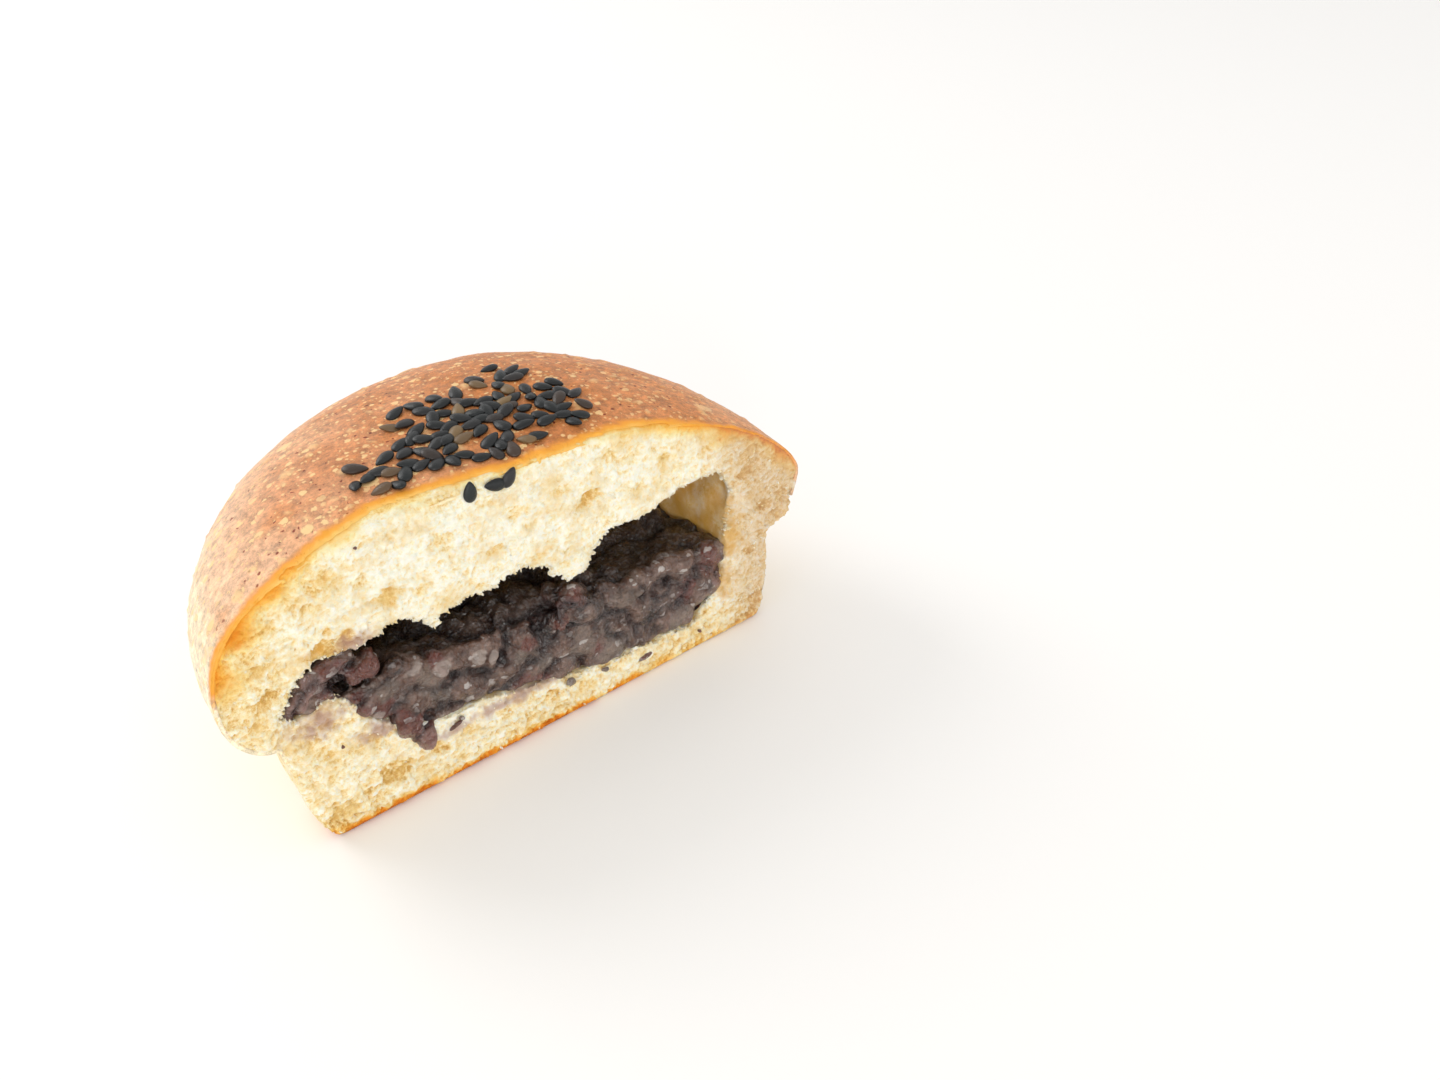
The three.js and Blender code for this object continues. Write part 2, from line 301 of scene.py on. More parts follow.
def bakedCrust():
    # Egg-washed wheat crust, browned in the oven: warm brown on top, peach on the flanks and pale yellow
    # below the bulge, where it faced its neighbours. Thin and softly glossy, with pale flecks where flour
    # and tiny blisters stayed light, and fine reddish pores.
    material, add, mm, (rim, blister) = newMaterial("egg-washed baked crust", "nearCut", "blister")
    parts = add("SeparateXYZ", {"Vector": mm}).node.outputs
    broad = add("TexNoise", {"Vector": mm, "Scale": 1 / 15, "Detail": 3, "Roughness": 0.55})
    height = add("Math", {0: broad, 1: 16, 2: parts["Z"]}, operation="MULTIPLY_ADD")
    # the near end is paler: partly it browned less, partly a painted sheen of the light falling on that
    # flank
    nearEnd = add("MapRange", {0: parts["X"], 1: -46, 2: 6, 3: -11, 4: 0})
    browning = add("Math", {0: height, 1: nearEnd}, operation="ADD")
    share = add("MapRange", {0: browning, 1: 8, 2: 57})
    browned = add("ValToRGB", {0: share}, stops=[
        (0.0, "#f2e0b4"), (0.36, "#faeacc"), (0.52, "#f9deba"), (0.63, "#f0c19b"), (0.75, "#e2a97e"),
        (0.86, "#d69263"), (1.0, "#c37a45")])
    # orange patches of about 8 mm, high up
    patches = add("TexNoise", {"Vector": mm, "Scale": 1 / 8, "Detail": 3, "Roughness": 0.6})
    patchShare = add("MapRange", {0: patches, 1: 0.5, 2: 0.68, 3: 0, 4: 0.5})
    highUp = add("MapRange", {0: parts["Z"], 1: 26, 2: 38})
    patchHigh = add("Math", {0: patchShare, 1: highUp}, operation="MULTIPLY")
    farEnd = add("MapRange", {0: parts["X"], 1: 2, 2: 40, 3: 0, 4: 0.5})
    color = coated(add, browned, (patchHigh, "#c97b38"), (farEnd, "#cc7f3e"))
    # mottling of 0.5 to 3 mm
    mottle = add("TexNoise", {"Vector": mm, "Scale": 1 / 1.6, "Detail": 6, "Roughness": 0.85})
    tone = add("MapRange", {0: mottle, 1: 0.36, 2: 0.64, 3: 0.58, 4: 1.4})
    color = add("VectorMath", {0: color, "Scale": tone}, operation="SCALE")
    # reddish pores of 0.4 mm, then flecks drawn out upwards: small ones of 0.5 and 1 mm, few of 3 mm
    ragged = warped(add, mm, 0.8, 0.9)
    drawn = add("VectorMath", {0: ragged, 1: (1.0, 1.0, 0.6)}, operation="MULTIPLY")
    pores = spots(add, ragged, 1.0, 0.45, 0.34, 0.12)
    darker = add("MapRange", {0: share, 1: 0.35, 2: 0.7, 3: 0.3, 4: 1})
    poreShare = add("Math", {0: pores, 1: darker}, operation="MULTIPLY")
    crowd = add("TexNoise", {"Vector": mm, "Scale": 1 / 7, "Detail": 2})
    crowded = add("MapRange", {0: crowd, 1: 0.3, 2: 0.5})
    dust = spots(add, drawn, 0.75, 0.6, 0.4, 0.12)
    small = spots(add, drawn, 1.4, 0.55, 0.72, 0.06)
    large = spots(add, drawn, 5.0, 0.25, 1.6, 0.04)
    few = add("Math", {0: small, 1: crowded}, operation="MULTIPLY")
    flecks = add("Math", {0: few, 1: large}, operation="MAXIMUM")
    allFlecks = add("Math", {0: flecks, 1: blister}, operation="MAXIMUM")
    faint = add("Math", {0: dust, 1: 0.85}, operation="MULTIPLY")
    pale = add("Math", {0: allFlecks, 1: faint}, operation="MAXIMUM")
    fewer = add("MapRange", {0: farEnd, 1: 0, 2: 0.5, 3: 0.85, 4: 0.45})
    weak = add("Math", {0: pale, 1: fewer}, operation="MULTIPLY")
    # the pressed edge along the cut turns orange, golden and then cream
    edgeColor = add("ValToRGB", {0: rim}, stops=[
        (0.0, "#dd8f45"), (0.22, "#ee9a38"), (0.42, "#f6ab3b"), (0.66, "#fbcd72"), (1.0, "#feecc2")])
    edgeShare = add("MapRange", {0: rim, 1: 0.02, 2: 0.3})
    # the tray browned the underside
    under = add("MapRange", {0: parts["Z"], 1: 0.6, 2: 0.3, 3: 0, 4: 0.8})
    color = coated(add, color, (poreShare, "#9a5644", "MULTIPLY"), (weak, "#ffd798"),
                   (edgeShare, edgeColor), (under, "#c98e4c"))
    rise = add("Math", {0: pale, 1: 0.5, 2: mottle}, operation="MULTIPLY_ADD")
    bump = add("Bump", {"Strength": 0.6, "Distance": 0.0003, "Height": rise})
    gloss = add("MapRange", {0: mottle, 1: 0.3, 2: 0.7, 3: 0.38, 4: 0.6})
    shader = add("BsdfPrincipled", {
        "Base Color": color, "Roughness": gloss, "Normal": bump, "IOR": 1.43, "Specular IOR Level": 0.35,
        "Subsurface Weight": 0.04, "Subsurface Radius": (1.0, 0.5, 0.25), "Subsurface Scale": 0.0008})
    add("OutputMaterial", {"Surface": shader})
    return material


def wheatCrumb():
    # Soft white-wheat crumb, torn by the knife: a foam of thin walls. Light goes some way in, so the
    # ridges are creamy white and the hollows between them warm yellow; that shade of the hollows is
    # painted, by the depth of the pits. It turns golden under the crust, and the paste has stained it
    # mauve where it was squeezed in; the far end is greyed by a painted shade.
    material, add, mm, (pits, golden, wall, stainAndPaintedShade) = newMaterial(
        "torn wheat crumb", "pitDepth", "goldenRim", "hollowWall", "stainAndPaintedShade")
    grain = add("TexNoise", {"Vector": mm, "Scale": 1 / 0.6, "Detail": 5, "Roughness": 0.8})
    flaw = add("MapRange", {0: grain, 1: 0.35, 2: 0.65, 3: -0.38, 4: 0.34})
    # painted shade: the deeper the pit, with a fine random flaw, the darker and yellower the crumb
    depth = add("Math", {0: pits, 1: flaw}, operation="ADD")
    color = add("ValToRGB", {0: depth}, stops=[
        (0.0, "#fffbea"), (0.25, "#fff2d0"), (0.5, "#fae3b0"), (0.75, "#eecb86"), (1.0, "#d8a95a")])
    cloud = add("TexNoise", {"Vector": mm, "Scale": 1 / 4.5, "Detail": 6, "Roughness": 0.65})
    cloudShare = add("MapRange", {0: cloud, 1: 0.47, 2: 0.68, 3: 0, 4: 0.7})
    # golden band under the crust, 1 to 4 mm wide
    band = add("ValToRGB", {0: golden}, stops=[
        (0.0, "#ffffff"), (0.2, "#fff0c6"), (0.45, "#fccb72"), (0.7, "#f5a53a"), (1.0, "#cf8742")])
    # the stain coat: the paste's mauve stains, and a painted shade that greys the far end
    color = coated(add, color, (cloudShare, "#eccb86"), (1.0, band, "MULTIPLY"), (stainAndPaintedShade, "#b18a80"),
                   (wall, "#d9a650"))
    bump = add("Bump", {"Strength": 0.7, "Distance": 0.00035, "Height": grain})
    shader = add("BsdfPrincipled", {
        "Base Color": color, "Roughness": 0.85, "Normal": bump, "Specular IOR Level": 0.2,
        "Subsurface Weight": 0.3, "Subsurface Radius": (1.0, 0.8, 0.45), "Subsurface Scale": 0.001})
    add("OutputMaterial", {"Surface": shader})
    return material


def beanPaste():
    # Coarse sweet paste of boiled red beans: moist and sticky, with reddish skins and greyish, slightly
    # see-through flesh, so it has many small sharp highlights. Behind the cut it is darker: partly the
    # uncut paste's own darker colour, partly a painted shade of the hollow, and its upward faces get a
    # painted shade from the crumb's roof.
    material, add, mm, (flesh, skin, pink, clear, fold, inside) = newMaterial(
        "coarse red bean paste", "flesh", "skin", "pink", "clear", "fold", "behindCut")
    lumps = add("TexNoise", {"Vector": mm, "Scale": 1 / 3.5, "Detail": 5, "Roughness": 0.65})
    color = add("ValToRGB", {0: lumps}, stops=[
        (0.3, "#371f15"), (0.42, "#56382b"), (0.54, "#78594a"), (0.7, "#947c6e")])
    torn = warped(add, mm, 1.5, 2.0)
    scraps = spots(add, torn, 3.4, 0.35, 1.6, 0.25)
    weak = add("Math", {0: scraps, 1: 0.45}, operation="MULTIPLY")
    color = coated(add, color, (weak, "#4d2319"), (skin, "#6d3022"), (flesh, "#857669"))
    # the mash is speckled at 0.3 to 1 mm, with paler scraps
    speckle = add("TexNoise", {"Vector": torn, "Scale": 1 / 0.8, "Detail": 5, "Roughness": 0.85})
    speck = add("MapRange", {0: speckle, 1: 0.35, 2: 0.65, 3: 0.58, 4: 1.38})
    color = add("VectorMath", {0: color, "Scale": speck}, operation="SCALE")
    flecks = spots(add, torn, 1.6, 0.22, 0.5)
    faint = add("Math", {0: flecks, 1: 0.4}, operation="MULTIPLY")
    # painted glints: pale slivers of 0.4 by 1 mm, in drifts, stand for the glints of the wet syrup, partly
    # also pale scraps of clear skin
    lying = add("VectorMath", {0: torn, 1: (0.5, 0.6, 1.1)}, operation="MULTIPLY")
    glintSlivers = spots(add, lying, 1.0, 0.55, 0.5, 0.06)
    drifts = add("MapRange", {0: lumps, 1: 0.42, 2: 0.56, 3: 0.25, 4: 0.9})
    paintedGlints = add("Math", {0: glintSlivers, 1: drifts}, operation="MULTIPLY")
    # the fold coat is painted shade in the creases of the mash, and the inside coat painted shade of the
    # hollow behind the cut
    color = coated(add, color, (faint, "#b3a79f"), (pink, "#a47c72"), (paintedGlints, "#c9c0ba"),
                   (clear, "#c2b2a7"), (fold, "#745246", "MULTIPLY"), (inside, "#1a0f0b"))
    grain = add("TexNoise", {"Vector": torn, "Scale": 1 / 0.9, "Detail": 6, "Roughness": 0.7})
    bump = add("Bump", {"Strength": 1.0, "Distance": 0.0009, "Height": grain})
    # the syrup lies over the grain and throws glints of about 0.3 mm
    syrup = add("TexNoise", {"Vector": torn, "Scale": 1 / 1.3, "Detail": 2, "Roughness": 0.5})
    gloss = add("Bump", {"Strength": 1.0, "Distance": 0.0022, "Height": syrup})
    wet = add("MapRange", {0: speckle, 1: 0.4, 2: 0.6, 3: 0.5, 4: 0.2})
    shader = add("BsdfPrincipled", {
        "Base Color": color, "Roughness": wet, "Normal": bump, "IOR": 1.45, "Subsurface Weight": 0.12,
        "Subsurface Radius": (1.0, 0.6, 0.5), "Subsurface Scale": 0.001, "Coat Weight": 1.0,
        "Coat IOR": 1.6, "Coat Roughness": 0.12, "Coat Normal": gloss})
    add("OutputMaterial", {"Surface": shader})
    return material


def blackSesame():
    # Whole black sesame: a thin, hard, faintly ribbed hull with a soft oily sheen, blue-black, with some
    # seeds that ripened brown or tan.
    material, add, mm, (tone,) = newMaterial("black sesame hull", "seedTone")
    hull = add("ValToRGB", {0: tone}, stops=[
        (0.0, "#070a0b"), (0.55, "#111718"), (0.74, "#201e1e"), (0.84, "#33271f"), (0.94, "#4c3828"),
        (1.0, "#7d6440")])
    ribs = add("TexNoise", {"Vector": mm, "Scale": 1 / 0.35, "Detail": 4, "Roughness": 0.7})
    bump = add("Bump", {"Strength": 0.5, "Distance": 0.00015, "Height": ribs})
    shader = add("BsdfPrincipled", {
        "Base Color": hull, "Roughness": 0.33, "Normal": bump, "IOR": 1.47, "Specular IOR Level": 0.5})
    add("OutputMaterial", {"Surface": shader})
    return material


crustMaterial = bakedCrust()
crumbMaterial = wheatCrumb()
pasteMaterial = beanPaste()
sesameMaterial = blackSesame()
print("materials made")

# the crust
crust = {
    "columns": 340,
    "rowsPerStep": (6, 4, 14, 14, 74, 4),
    "chance": 611,
    "finerStrip": (24, -0.8, 5.0),  # above this height, between these distances behind the cut
    "thickness": 0.6,
    "behindCut": 0.1,
    "wrinkle": 0.16,
    "wrinkleSize": 5.0,
    "pucker": 0.07,
    "puckerSize": 1.6,
    "blisters": 240,
    "blisterRadius": (0.5, 1.5),
    "blisterRise": 0.2,
    # the pressed edge as (x, how far behind the cut it is brown, and how far it is bare crumb)
    "edge": [
        (-51, 0.8, 0), (-44, 1, 0), (-38, 1.4, 0.1), (-33, 2.2, 0.3), (-28, 3.3, 0.9), (-23, 4, 1.9),
        (-18, 3.6, 1.6), (-12, 3, 1.3), (-6, 2.3, 0.5), (-2, 1.5, 0.1), (8, 1.6, 0.2), (14, 2.4, 0.6),
        (18, 2.5, 0.6), (23, 1.7, 0.3), (30, 0.7, 0), (37, 0.1, 0), (52, 0.1, 0)],
    "orangeHalo": 0.8,  # how far the orange runs into the brown
    "goldenReach": 3.0,  # from the brown to the cream
    "edgeDip": 0.9,  # how far the skin dips under the bare crumb
    "lowerEdge": (15.0, 21.0),  # the skin ends under the bulge: usual height, and at the far end of the cut
    "feather": 4.0,  # over this height it thins out to nothing
}


def blistersOnSkin():
    draw = randomRow(crust["chance"])
    tree = KDTree(crust["blisters"])
    radii = []
    while len(radii) < crust["blisters"]:
        turn = 2 * math.pi * draw()
        step = mix(3.05, 4.95, draw())
        wanted = profileAt(turn, step)[0] / 50
        if draw() < wanted:
            tree.insert(skinPoint(turn, step), len(radii))
            radii.append(mix(*crust["blisterRadius"], draw() ** 3))
    tree.balance()
    return tree, radii


def lowerEdgeAt(p):
    usual, far = crust["lowerEdge"]
    ragged = bumps(p, 5) * 2.5 + bumps(p, 1.7) * 1.2
    return mix(usual, far, smoothStep(34, 44, p.x) * (1 - smoothStep(4, 12, p.y))) + ragged


def edgeAt(p):  # where the brown skin ends, and where the bare crumb does
    brown, bare = alongTable(crust["edge"], p.x)
    ragged = 0.5 * bumps(p, 2.3) + 0.3 * bumps(p, 0.8)
    high = smoothStep(24, 33, p.z)
    return (brown + ragged) * high, (bare + 0.6 * ragged) * high


def goldenAt(p):  # the golden edge fades out towards the bulge
    low = mix(28.5, 24, smoothStep(-20, 20, p.x))
    return smoothStep(low, low + 6, p.z)


def makeCrust():
    bm = spunSkin(crust["columns"], crust["rowsPerStep"])
    height, near, far = crust["finerStrip"]
    strip = [e for e in bm.edges
             if all(v.co.z > height and near < v.co.y - cutAt(v.co.z) < far for v in e.verts)]
    bmesh.ops.subdivide_edges(bm, edges=strip, cuts=2, use_grid_fill=True)
    bmesh.ops.triangulate(bm, faces=[f for f in bm.faces if len(f.verts) > 4])
    bm.normal_update()
    tree, radii = blistersOnSkin()
    layers = newLayers(bm, "nearCut", "blister")
    for v in bm.verts:
        p = v.co.copy()
        browned = smoothStep(18, 28, p.z)
        rise = bumps(p, crust["wrinkleSize"]) * crust["wrinkle"]
        rise += bumps(p, crust["puckerSize"]) * crust["pucker"]
        swollen = 0.0
        for _, i, away in tree.find_range(p, crust["blisterRadius"][1]):
            t = away / radii[i] * (1 + 0.5 * bumps(p, 0.9))
            swollen = max(swollen, 1 - t * t)
        rise += swollen * crust["blisterRise"]
        v.co += v.normal * rise * mix(0.4, 1.0, browned) * smoothStep(0.0, 2.0, p.z)
        v[layers["blister"]] = 0.7 * clamp(swollen * 1.4) * browned
        ahead = edgeAt(p)[0] - (p.y - cutAt(p.z)) + crust["orangeHalo"]
        v[layers["nearCut"]] = clamp(ahead / (crust["goldenReach"] + crust["orangeHalo"])) * goldenAt(p)
    cutAway(bm, crust["behindCut"])
    return bm


crustSkin = makeCrust()
skinTree = BVHTree.FromBMesh(crustSkin)
crustSkin.normal_update()
inwardLayer = crustSkin.verts.layers.float_vector.new("inward")
for v in crustSkin.verts:
    v[inwardLayer] = v.normal * -crust["thickness"]
for v in crustSkin.verts:
    low = 1 - smoothStep(0, crust["feather"], v.co.z - lowerEdgeAt(v.co))
    bareFrom = edgeAt(v.co)[1] + 0.1
    dip = crust["edgeDip"] / crust["thickness"] * smoothStep(0.15, 0.7, bareFrom)
    front = 1 - smoothStep(bareFrom, bareFrom + 0.7, v.co.y - cutAt(v.co.z))
    v.co += v[inwardLayer] * max(0.7 * low, front * dip)
bare = [f for f in crustSkin.faces if f.calc_center_median().z < lowerEdgeAt(f.calc_center_median())]
bmesh.ops.delete(crustSkin, geom=bare, context="FACES")
stray = [f for f in crustSkin.faces if all(len(e.link_faces) == 1 for e in f.edges)]
bmesh.ops.delete(crustSkin, geom=stray, context="FACES")
skinParts = list(crustSkin.verts) + list(crustSkin.edges) + list(crustSkin.faces)
inner = bmesh.ops.extrude_face_region(crustSkin, geom=skinParts, use_keep_orig=True)["geom"]
for v in inner:
    if isinstance(v, bmesh.types.BMVert):
        v.co += v[inwardLayer]
faceOutwards(crustSkin)
crustPiece = meshObject("crust", crustSkin)
placePiece(crustPiece, "bread", crustMaterial)

# the crumb and the hollow in it
crumb = {
    "columns": 120,
    "rowsPerStep": (3, 1, 8, 8, 26, 2),
    "inset": 0.2,  # below the crust's own face
    "voxel": 1.0,
    "faceCuts": 3,  # each voxel near the cut is split so many times
    "hollowDepth": 31.0,
    "ceiling": 33.5,
    "mouthMiddle": (0.0, 18.0),
    # the torn mouth of the hollow as (x, z): floor, far wall, torn upper edge, near end
    "mouth": [
        (-36.5, 23.4), (-34.6, 22.2), (-33.6, 20.2), (-32.3, 18.2), (-30.5, 16.4), (-28.6, 14), (-26, 12),
        (-23, 11.5), (-18, 11.2), (-13, 10.3), (-9.7, 9.5), (-5, 9), (-2.6, 8.4), (0, 7.6), (4.8, 6.9),
        (12.7, 6.2), (18, 5.8), (23.1, 5.7), (26, 6.8), (28.3, 8.4), (30.3, 10.9), (31.6, 14.5), (32.3, 18),
        (33.2, 22.5), (34.8, 26), (34.4, 30), (32.2, 32.4), (28, 32.3), (24.3, 32), (21.9, 31.4),
        (19.2, 30.5), (16.2, 30.1), (13.4, 30.2), (11, 30.3), (9.4, 28.8), (8.2, 28), (7, 27.4),
        (5.9, 26.2), (4.6, 24.6), (3.1, 24.2), (0.8, 26.5), (-2.3, 28.7), (-5.1, 29.8), (-7.1, 29.9),
        (-9.5, 28.9), (-12.3, 28.8), (-15.4, 29.2), (-17.7, 28.3), (-19.5, 27.4), (-21, 28.9),
        (-22.5, 30.6), (-24.5, 31.1), (-26.4, 31), (-28.3, 29.7), (-30.3, 29.2), (-32, 29.3), (-34.7, 29.7),
        (-37, 29.9), (-38.6, 29), (-40.6, 27), (-42.8, 24.6), (-43.4, 23), (-41, 22.6)],
    "waviness": 0.45,  # of the whole torn face, over about 6 mm
    "foam": [(2.6, 0.3), (1.3, 0.28), (0.7, 0.3), (0.4, 0.16)],  # width of the bubbles and their depth
    "fibres": 0.22,  # how far the fibres along the cut stand out
    # the large bubbles that the knife opened: x, z, half width, depth
    "bubbles": [
        (-33.8, 31.1, 2.8, 0.7), (-4, 40, 1.3, 0.6), (7.8, 37.2, 1.7, 0.8), (3.7, 40.8, 1.2, 0.4),
        (-13.6, 46.2, 1.5, 0.4), (-15.4, 40.3, 1.5, 0.5), (-33, 46.7, 0.9, 0.4), (22.8, 38.6, 1.2, 0.4),
        (41.6, 36.5, 1, 0.4), (-11.7, 30.9, 0.9, 0.4), (-1.8, 31.5, 0.9, 0.4), (-27.6, 39.3, 1, 0.5),
        (-24.9, 35.1, 1.5, 0.8), (-43.9, 27.7, 1.5, 0.5), (-37.3, 20.2, 0.7, 0.5), (-32.5, 14.2, 1, 0.5),
        (-31, 6.6, 2, 0.7), (-23.9, 7.1, 1.5, 0.7), (-19, 7.4, 0.9, 0.5), (-43.7, 33, 1.2, 0.4),
        (-32, 41.3, 1.8, 0.4), (-35.9, 39.3, 1.2, 0.3), (-40.9, 38, 1.2, 0.3), (-47.4, 25.3, 1.2, 0.4),
        (12.5, 43, 0.9, 0.5), (17, 36, 1.1, 0.5), (-20, 34.5, 1.1, 0.5), (30, 37, 1, 0.4),
        (38, 30, 1.2, 0.5), (40.5, 23, 1.1, 0.5), (37, 15, 1.1, 0.5), (-8, 35.5, 0.9, 0.5)],
    "tufts": 1.0,  # how far torn tufts stand out round the mouth
    "goldenWidth": (3.0, 1.0, 1.6),  # at the near end, the crown and the far end
    # where paste has stained the face: x, z, half width, half height
    "stains": [
        (-39, 21, 5.2, 2.6), (-31, 30.6, 3.6, 2), (-31.5, 15.5, 3.2, 2.2), (-12, 9, 14, 1.1)],
    "goldenStains": [
        (33.6, 20, 2.8, 7), (31.6, 11, 2.8, 3.6), (-36, 31.5, 2.6, 1.6)],
}


def closedCurve(points, samples=600):  # Catmull-Rom through the points, as evenly spaced samples
    raw = []
    count = len(points)
    for i in range(count):
        a, b, c, d = [Vector(points[(i + k) % count]) for k in (-1, 0, 1, 2)]
        for j in range(16):
            t = j / 16
            raw.append(0.5 * ((2 * b) + (c - a) * t + (2 * a - 5 * b + 4 * c - d) * t * t
                              + (3 * b - a - 3 * c + d) * t * t * t))
    lengths = [0.0]
    for i in range(len(raw)):
        lengths.append(lengths[-1] + (raw[(i + 1) % len(raw)] - raw[i]).length)
    even = []
    at = 0
    for i in range(samples):
        want = lengths[-1] * i / samples
        while lengths[at + 1] < want:
            at += 1
        t = (want - lengths[at]) / (lengths[at + 1] - lengths[at])
        even.append(raw[at].lerp(raw[(at + 1) % len(raw)], t))
    return even


mouthCurve = closedCurve(crumb["mouth"])


def hollowPoint(share, behind, inset):
    depth = crumb["hollowDepth"]
    closing = (1 - clamp(behind / depth) ** 2.4) ** (1 / 2.4)
    edge = mouthCurve[int(share * len(mouthCurve)) % len(mouthCurve)]
    middle = crumb["mouthMiddle"]
    dx = edge.x - middle[0]
    dz = edge.y - middle[1]
    ceiling = crumb["ceiling"] - 0.0045 * (edge.x + 2) ** 2 - middle[1]
    lifted = clamp(behind / 6) * clamp(dz / 7) * clamp((30 - abs(dx)) / 10)
    dz = mix(dz, ceiling, lifted)
    reach = math.hypot(dx, dz)
    across = max(0.0, reach * closing - inset) / reach
    upward = max(0.0, reach * closing ** 0.8 - inset) / reach
    z = middle[1] + dz * upward
    return Vector((middle[0] + dx * across, cutAt(z) + behind * (1 - 1.5 * inset / depth), z))


def hollowShape(inset=0.0, columns=240, rows=34):
    bm = bmesh.new()
    bmesh.ops.create_uvsphere(bm, u_segments=columns, v_segments=rows, radius=1)
    for v in bm.verts:
        row = round(math.acos(clamp(v.co.z, -1, 1)) / math.pi * rows)
        share = (math.atan2(v.co.y, v.co.x) / (2 * math.pi)) % 1
        if row == 0:
            v.co = (crumb["mouthMiddle"][0], cutAt(crumb["mouthMiddle"][1]) - 4, crumb["mouthMiddle"][1])
        elif row == 1:
            v.co = hollowPoint(share, -4, inset)
        else:
            v.co = hollowPoint(share, crumb["hollowDepth"] * (row - 2) / (rows - 2), inset)
    faceOutwards(bm)
    return bm


def foamAt(p):  # 0 on the walls between the bubbles, up to about 1 inside them
    shifted = p + 0.9 * noiseVector(p / 3.1) + 0.45 * noiseVector(p / 1.2)
    crowded = smoothStep(-0.35, 0.35, noise.noise(p / 9 + Vector((3, 1, 7))))
    deep = 0.0
    for i, (size, depth) in enumerate(crumb["foam"]):
        bubble = min(1.0, abs(noise.noise(shifted / size + Vector((11 * i, 5, 2)))) / 0.5)
        deep += bubble * depth * (mix(0.3, 1.3, crowded) if i == 0 else 1.0)
    return deep


def bubbleAt(p):  # depth of the opened large bubbles
    deep = 0.0
    for x, z, half, depth in crumb["bubbles"]:
        if abs(p.x - x) < 2 * half and abs(p.z - z) < 2 * half:
            t = math.hypot((p.x - x) / (1.4 * half), (p.z - z) / half)
            t += 0.6 * bumps(p, 1.4) + 0.35 * bumps(p, 0.6)
            deep = max(deep, depth * math.sqrt(max(0.0, 1 - t * t)))
    return deep


def stainAt(p, stains):
    most = 0.0
    for x, z, wide, high in stains:
        t = math.hypot((p.x - x) / wide, (p.z - z) / high) + 0.5 * bumps(p, 2.2)
        most = max(most, 1 - smoothStep(0.1, 1.3, t + 0.5 * bumps(p, 0.9)))
    return most


